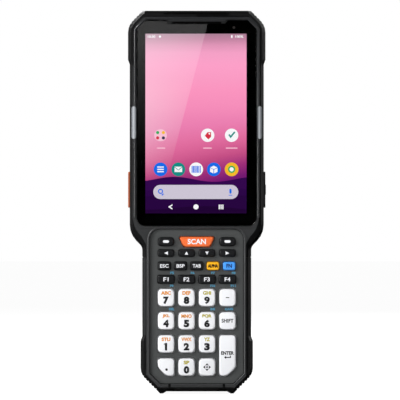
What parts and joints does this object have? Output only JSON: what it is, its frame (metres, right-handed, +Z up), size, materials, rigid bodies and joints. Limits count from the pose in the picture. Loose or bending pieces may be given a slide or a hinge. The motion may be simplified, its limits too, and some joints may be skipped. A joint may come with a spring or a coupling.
{
  "type": "handheld data terminal",
  "caption": "Rugged handheld computer: touch screen head with cut corners over a keypad grip, barcode reader in the top end, side trigger, battery and latch in the back.",
  "frame": {"origin": "middle of the bounding box's underside, between the two foot rails that the terminal stands on", "axes": "+X to the right seen from the front, +Y from the screen to the back, +Z up along the body"},
  "size_m": [0.0721, 0.03, 0.1999],
  "materials": {
    "cover_black": "fine satin texture",
    "gasket_rubber": "matt",
    "bezel_grey": "satin",
    "guard_rubber": "matt",
    "flap_rubber": "matt",
    "screen_glass": "polished, black border printed on its back",
    "screen_panel": "lit display",
    "earpiece_mesh": "woven mesh",
    "light_guide": "frosted",
    "plate_grey": "satin",
    "mat_rubber": "matt",
    "circuit_board": "solder mask",
    "module_black": "matt",
    "scan_lens": "polished dark red",
    "camera_lens": "polished",
    "latch_black": "satin",
    "spring_steel": "plain",
    "port_steel": "plain",
    "contact_gold": "gold plated",
    "screw_steel": "black zinc",
    "insert_brass": "plain",
    "trigger_orange": "satin",
    "button_black": "satin",
    "key_white": "smooth",
    "key_black": "smooth",
    "key_orange": "smooth",
    "key_yellow": "smooth",
    "key_blue": "smooth"
  },
  "bodies": {
    "housing": {"front_cover": "cover_black", "rear_cover": "cover_black", "battery_pack": "cover_black", "housing_gasket": "gasket_rubber", "screen_bezel": "bezel_grey", "top_guard": "guard_rubber", "bottom_guard": "guard_rubber", "touch_glass": "screen_glass", "display_panel": "screen_panel", "receiver": "earpiece_mesh", "led_guides": "light_guide", "keypad_plate": "plate_grey", "keypad_mat": "mat_rubber", "keypad_board": "circuit_board", "main_board": "circuit_board", "scan_engine": "module_black", "camera_module": "module_black", "loudspeaker": "module_black", "scan_window": "scan_lens", "camera_window": "camera_lens", "latch_spring": "spring_steel", "usb_port": "port_steel", "cradle_contacts": "contact_gold", "housing_screws": "screw_steel", "threaded_inserts": "insert_brass"},
    "key_soft_left": {"key_soft_left": "key_black"},
    "key_scan": {"key_scan": "key_orange"},
    "key_soft_right": {"key_soft_right": "key_black"},
    "key_left": {"key_left": "key_black"},
    "key_up": {"key_up": "key_black"},
    "key_down": {"key_down": "key_black"},
    "key_right": {"key_right": "key_black"},
    "key_esc": {"key_esc": "key_black"},
    "key_bsp": {"key_bsp": "key_black"},
    "key_tab": {"key_tab": "key_black"},
    "key_alpha": {"key_alpha": "key_yellow"},
    "key_fn": {"key_fn": "key_blue"},
    "key_f1": {"key_f1": "key_black"},
    "key_f2": {"key_f2": "key_black"},
    "key_f3": {"key_f3": "key_black"},
    "key_f4": {"key_f4": "key_black"},
    "key_7": {"key_7": "key_white"},
    "key_8": {"key_8": "key_white"},
    "key_9": {"key_9": "key_white"},
    "key_minus": {"key_minus": "key_white"},
    "key_4": {"key_4": "key_white"},
    "key_5": {"key_5": "key_white"},
    "key_6": {"key_6": "key_white"},
    "key_shift": {"key_shift": "key_white"},
    "key_1": {"key_1": "key_white"},
    "key_2": {"key_2": "key_white"},
    "key_3": {"key_3": "key_white"},
    "key_enter": {"key_enter": "key_white"},
    "key_dot": {"key_dot": "key_white"},
    "key_0": {"key_0": "key_white"},
    "key_nav": {"key_nav": "key_white"},
    "scan_trigger_left": {"scan_trigger_left": "trigger_orange"},
    "side_button_right": {"side_button_right": "button_black"},
    "battery_latch": {"battery_latch": "latch_black"},
    "port_cover": {"port_cover": "flap_rubber"}
  },
  "joints": [
    {"name": "key_soft_left_press", "type": "slide", "parent": "housing", "child": "key_soft_left", "axis": [0, 1, 0], "range_m": [0, 0.0005], "stiffness_N_per_m": 300},
    {"name": "key_scan_press", "type": "slide", "parent": "housing", "child": "key_scan", "axis": [0, 1, 0], "range_m": [0, 0.0005], "stiffness_N_per_m": 300},
    {"name": "key_soft_right_press", "type": "slide", "parent": "housing", "child": "key_soft_right", "axis": [0, 1, 0], "range_m": [0, 0.0005], "stiffness_N_per_m": 300},
    {"name": "key_left_press", "type": "slide", "parent": "housing", "child": "key_left", "axis": [0, 1, 0], "range_m": [0, 0.0005], "stiffness_N_per_m": 300},
    {"name": "key_up_press", "type": "slide", "parent": "housing", "child": "key_up", "axis": [0, 1, 0], "range_m": [0, 0.0005], "stiffness_N_per_m": 300},
    {"name": "key_down_press", "type": "slide", "parent": "housing", "child": "key_down", "axis": [0, 1, 0], "range_m": [0, 0.0005], "stiffness_N_per_m": 300},
    {"name": "key_right_press", "type": "slide", "parent": "housing", "child": "key_right", "axis": [0, 1, 0], "range_m": [0, 0.0005], "stiffness_N_per_m": 300},
    {"name": "key_esc_press", "type": "slide", "parent": "housing", "child": "key_esc", "axis": [0, 1, 0], "range_m": [0, 0.0005], "stiffness_N_per_m": 300},
    {"name": "key_bsp_press", "type": "slide", "parent": "housing", "child": "key_bsp", "axis": [0, 1, 0], "range_m": [0, 0.0005], "stiffness_N_per_m": 300},
    {"name": "key_tab_press", "type": "slide", "parent": "housing", "child": "key_tab", "axis": [0, 1, 0], "range_m": [0, 0.0005], "stiffness_N_per_m": 300},
    {"name": "key_alpha_press", "type": "slide", "parent": "housing", "child": "key_alpha", "axis": [0, 1, 0], "range_m": [0, 0.0005], "stiffness_N_per_m": 300},
    {"name": "key_fn_press", "type": "slide", "parent": "housing", "child": "key_fn", "axis": [0, 1, 0], "range_m": [0, 0.0005], "stiffness_N_per_m": 300},
    {"name": "key_f1_press", "type": "slide", "parent": "housing", "child": "key_f1", "axis": [0, 1, 0], "range_m": [0, 0.0005], "stiffness_N_per_m": 300},
    {"name": "key_f2_press", "type": "slide", "parent": "housing", "child": "key_f2", "axis": [0, 1, 0], "range_m": [0, 0.0005], "stiffness_N_per_m": 300},
    {"name": "key_f3_press", "type": "slide", "parent": "housing", "child": "key_f3", "axis": [0, 1, 0], "range_m": [0, 0.0005], "stiffness_N_per_m": 300},
    {"name": "key_f4_press", "type": "slide", "parent": "housing", "child": "key_f4", "axis": [0, 1, 0], "range_m": [0, 0.0005], "stiffness_N_per_m": 300},
    {"name": "key_7_press", "type": "slide", "parent": "housing", "child": "key_7", "axis": [0, 1, 0], "range_m": [0, 0.0005], "stiffness_N_per_m": 300},
    {"name": "key_8_press", "type": "slide", "parent": "housing", "child": "key_8", "axis": [0, 1, 0], "range_m": [0, 0.0005], "stiffness_N_per_m": 300},
    {"name": "key_9_press", "type": "slide", "parent": "housing", "child": "key_9", "axis": [0, 1, 0], "range_m": [0, 0.0005], "stiffness_N_per_m": 300},
    {"name": "key_minus_press", "type": "slide", "parent": "housing", "child": "key_minus", "axis": [0, 1, 0], "range_m": [0, 0.0005], "stiffness_N_per_m": 300},
    {"name": "key_4_press", "type": "slide", "parent": "housing", "child": "key_4", "axis": [0, 1, 0], "range_m": [0, 0.0005], "stiffness_N_per_m": 300},
    {"name": "key_5_press", "type": "slide", "parent": "housing", "child": "key_5", "axis": [0, 1, 0], "range_m": [0, 0.0005], "stiffness_N_per_m": 300},
    {"name": "key_6_press", "type": "slide", "parent": "housing", "child": "key_6", "axis": [0, 1, 0], "range_m": [0, 0.0005], "stiffness_N_per_m": 300},
    {"name": "key_shift_press", "type": "slide", "parent": "housing", "child": "key_shift", "axis": [0, 1, 0], "range_m": [0, 0.0005], "stiffness_N_per_m": 300},
    {"name": "key_1_press", "type": "slide", "parent": "housing", "child": "key_1", "axis": [0, 1, 0], "range_m": [0, 0.0005], "stiffness_N_per_m": 300},
    {"name": "key_2_press", "type": "slide", "parent": "housing", "child": "key_2", "axis": [0, 1, 0], "range_m": [0, 0.0005], "stiffness_N_per_m": 300},
    {"name": "key_3_press", "type": "slide", "parent": "housing", "child": "key_3", "axis": [0, 1, 0], "range_m": [0, 0.0005], "stiffness_N_per_m": 300},
    {"name": "key_enter_press", "type": "slide", "parent": "housing", "child": "key_enter", "axis": [0, 1, 0], "range_m": [0, 0.0005], "stiffness_N_per_m": 300},
    {"name": "key_dot_press", "type": "slide", "parent": "housing", "child": "key_dot", "axis": [0, 1, 0], "range_m": [0, 0.0005], "stiffness_N_per_m": 300},
    {"name": "key_0_press", "type": "slide", "parent": "housing", "child": "key_0", "axis": [0, 1, 0], "range_m": [0, 0.0005], "stiffness_N_per_m": 300},
    {"name": "key_nav_press", "type": "slide", "parent": "housing", "child": "key_nav", "axis": [0, 1, 0], "range_m": [0, 0.0005], "stiffness_N_per_m": 300},
    {"name": "scan_trigger_left_press", "type": "slide", "parent": "housing", "child": "scan_trigger_left", "axis": [1, 0, 0], "range_m": [0, 0.0006], "stiffness_N_per_m": 500},
    {"name": "side_button_right_press", "type": "slide", "parent": "housing", "child": "side_button_right", "axis": [-1, 0, 0], "range_m": [0, 0.0006], "stiffness_N_per_m": 500},
    {"name": "battery_latch_slide", "type": "slide", "parent": "housing", "child": "battery_latch", "axis": [0, 0, 1], "range_m": [0, 0.0022], "stiffness_N_per_m": 300, "deforming": ["latch_spring"]},
    {"name": "port_cover_hinge", "type": "hinge", "parent": "housing", "child": "port_cover", "pos_m": [0, 0.0083, 0.0019], "axis": [1, 0, 0], "range_deg": [0, 100]}
  ]
}
